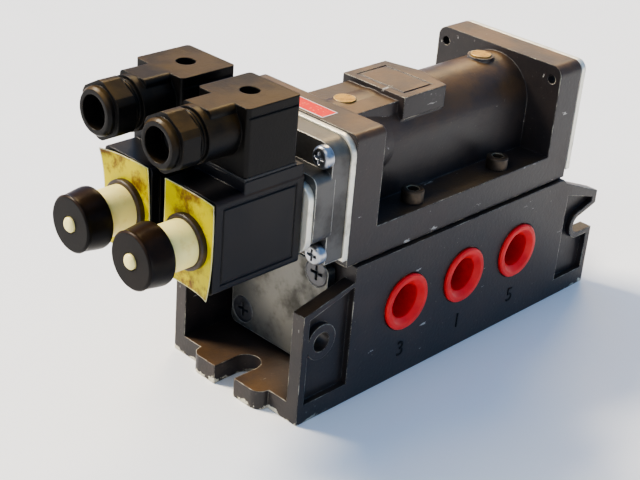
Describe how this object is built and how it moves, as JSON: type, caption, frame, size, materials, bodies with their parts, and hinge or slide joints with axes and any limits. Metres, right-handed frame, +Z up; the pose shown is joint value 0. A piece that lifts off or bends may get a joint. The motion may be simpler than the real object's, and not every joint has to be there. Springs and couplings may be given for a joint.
{
  "type": "solenoid directional valve",
  "caption": "Pilot operated directional valve on a ported sub-base, with side by side solenoids, cable plugs and push pin overrides at one end.",
  "frame": {"origin": "centre of the sub-base's underside", "axes": "+X along the spool from the solenoids to the blank end cover, +Z up, the plugged ports face -Y"},
  "size_m": [0.2863, 0.0806, 0.1488],
  "materials": {
    "black_paint": "satin black enamel on cast metal, chipped at the edges",
    "cast_aluminium": "as cast, dull grey",
    "machined_aluminium": "machined, light grey",
    "gasket_sheet": "flat black sheet",
    "zinc_steel": "zinc plated",
    "black_steel": "blackened and oiled",
    "turned_steel": "turned",
    "spring_steel": "drawn wire",
    "brass": "dull brass",
    "label_red": "printed foil, blank",
    "black_rubber": "moulded rubber",
    "brown_rubber": "flat brown ring",
    "coil_plastic": "moulded glass filled plastic",
    "plug_plastic": "moulded black plastic with a slight sheen",
    "ivory_plastic": "ivory moulding",
    "yellow_film": "thin yellow film",
    "red_plastic": "soft red moulding"
  },
  "bodies": {
    "housing": {"sub_base": "black_paint", "valve_body": "black_paint", "lower_end_plate": "cast_aluminium", "pilot_block": "cast_aluminium", "adapter_plate": "machined_aluminium", "solenoid_plate": "machined_aluminium", "far_end_cover": "machined_aluminium", "lower_end_gasket": "gasket_sheet", "body_gasket": "gasket_sheet", "far_cover_gasket": "gasket_sheet", "lower_plate_screws": "zinc_steel", "pilot_block_screws": "zinc_steel", "far_cover_screws": "zinc_steel", "body_screws": "black_steel", "brass_passage_plugs": "brass", "type_label": "label_red", "spool_sleeve": "machined_aluminium", "sleeve_o_rings": "black_rubber", "port_plugs": "red_plastic", "coil_1": "coil_plastic", "armature_tube_1": "turned_steel", "fixed_core_1": "turned_steel", "armature_spring_1": "spring_steel", "override_spring_1": "spring_steel", "retaining_sleeve_1": "ivory_plastic", "sealing_ring_1": "brown_rubber", "coil_film_1": "yellow_film", "rubber_cap_1": "black_rubber", "connector_gasket_1": "black_rubber", "connector_housing_1": "plug_plastic", "terminal_block_1": "plug_plastic", "connector_screw_1": "zinc_steel", "coil_terminals_1": "brass", "gland_nut_1": "plug_plastic", "gland_seal_1": "black_rubber", "coil_2": "coil_plastic", "armature_tube_2": "turned_steel", "fixed_core_2": "turned_steel", "armature_spring_2": "spring_steel", "override_spring_2": "spring_steel", "retaining_sleeve_2": "ivory_plastic", "sealing_ring_2": "brown_rubber", "coil_film_2": "yellow_film", "rubber_cap_2": "black_rubber", "connector_gasket_2": "black_rubber", "connector_housing_2": "plug_plastic", "terminal_block_2": "plug_plastic", "connector_screw_2": "zinc_steel", "coil_terminals_2": "brass", "gland_nut_2": "plug_plastic", "gland_seal_2": "black_rubber"},
    "spool_set": {"spool": "turned_steel", "spool_seals": "black_rubber"},
    "armature_set_1": {"armature_1": "turned_steel"},
    "armature_set_2": {"armature_2": "turned_steel"},
    "override_set_1": {"override_pin_1": "ivory_plastic"},
    "override_set_2": {"override_pin_2": "ivory_plastic"}
  },
  "joints": [
    {"name": "spool_slide", "type": "slide", "parent": "housing", "child": "spool_set", "axis": [1, 0, 0], "range_m": [0, 0.006]},
    {"name": "override_press_1", "type": "slide", "parent": "housing", "child": "override_set_1", "axis": [1, 0, 0], "range_m": [0, 0.0025], "stiffness_N_per_m": 300, "springref_m": -0.004, "deforming": ["override_spring_1"]},
    {"name": "armature_slide_1", "type": "slide", "parent": "housing", "child": "armature_set_1", "axis": [1, 0, 0], "range_m": [0, 0.0025], "stiffness_N_per_m": 600, "springref_m": -0.004, "deforming": ["armature_spring_1"]},
    {"name": "override_press_2", "type": "slide", "parent": "housing", "child": "override_set_2", "axis": [1, 0, 0], "range_m": [0, 0.0025], "stiffness_N_per_m": 300, "springref_m": -0.004, "deforming": ["override_spring_2"]},
    {"name": "armature_slide_2", "type": "slide", "parent": "housing", "child": "armature_set_2", "axis": [1, 0, 0], "range_m": [0, 0.0025], "stiffness_N_per_m": 600, "springref_m": -0.004, "deforming": ["armature_spring_2"]}
  ],
  "couplings": [
    {"joint": "armature_slide_1", "follows": "override_press_1", "ratio": 1},
    {"joint": "armature_slide_2", "follows": "override_press_2", "ratio": 1}
  ]
}
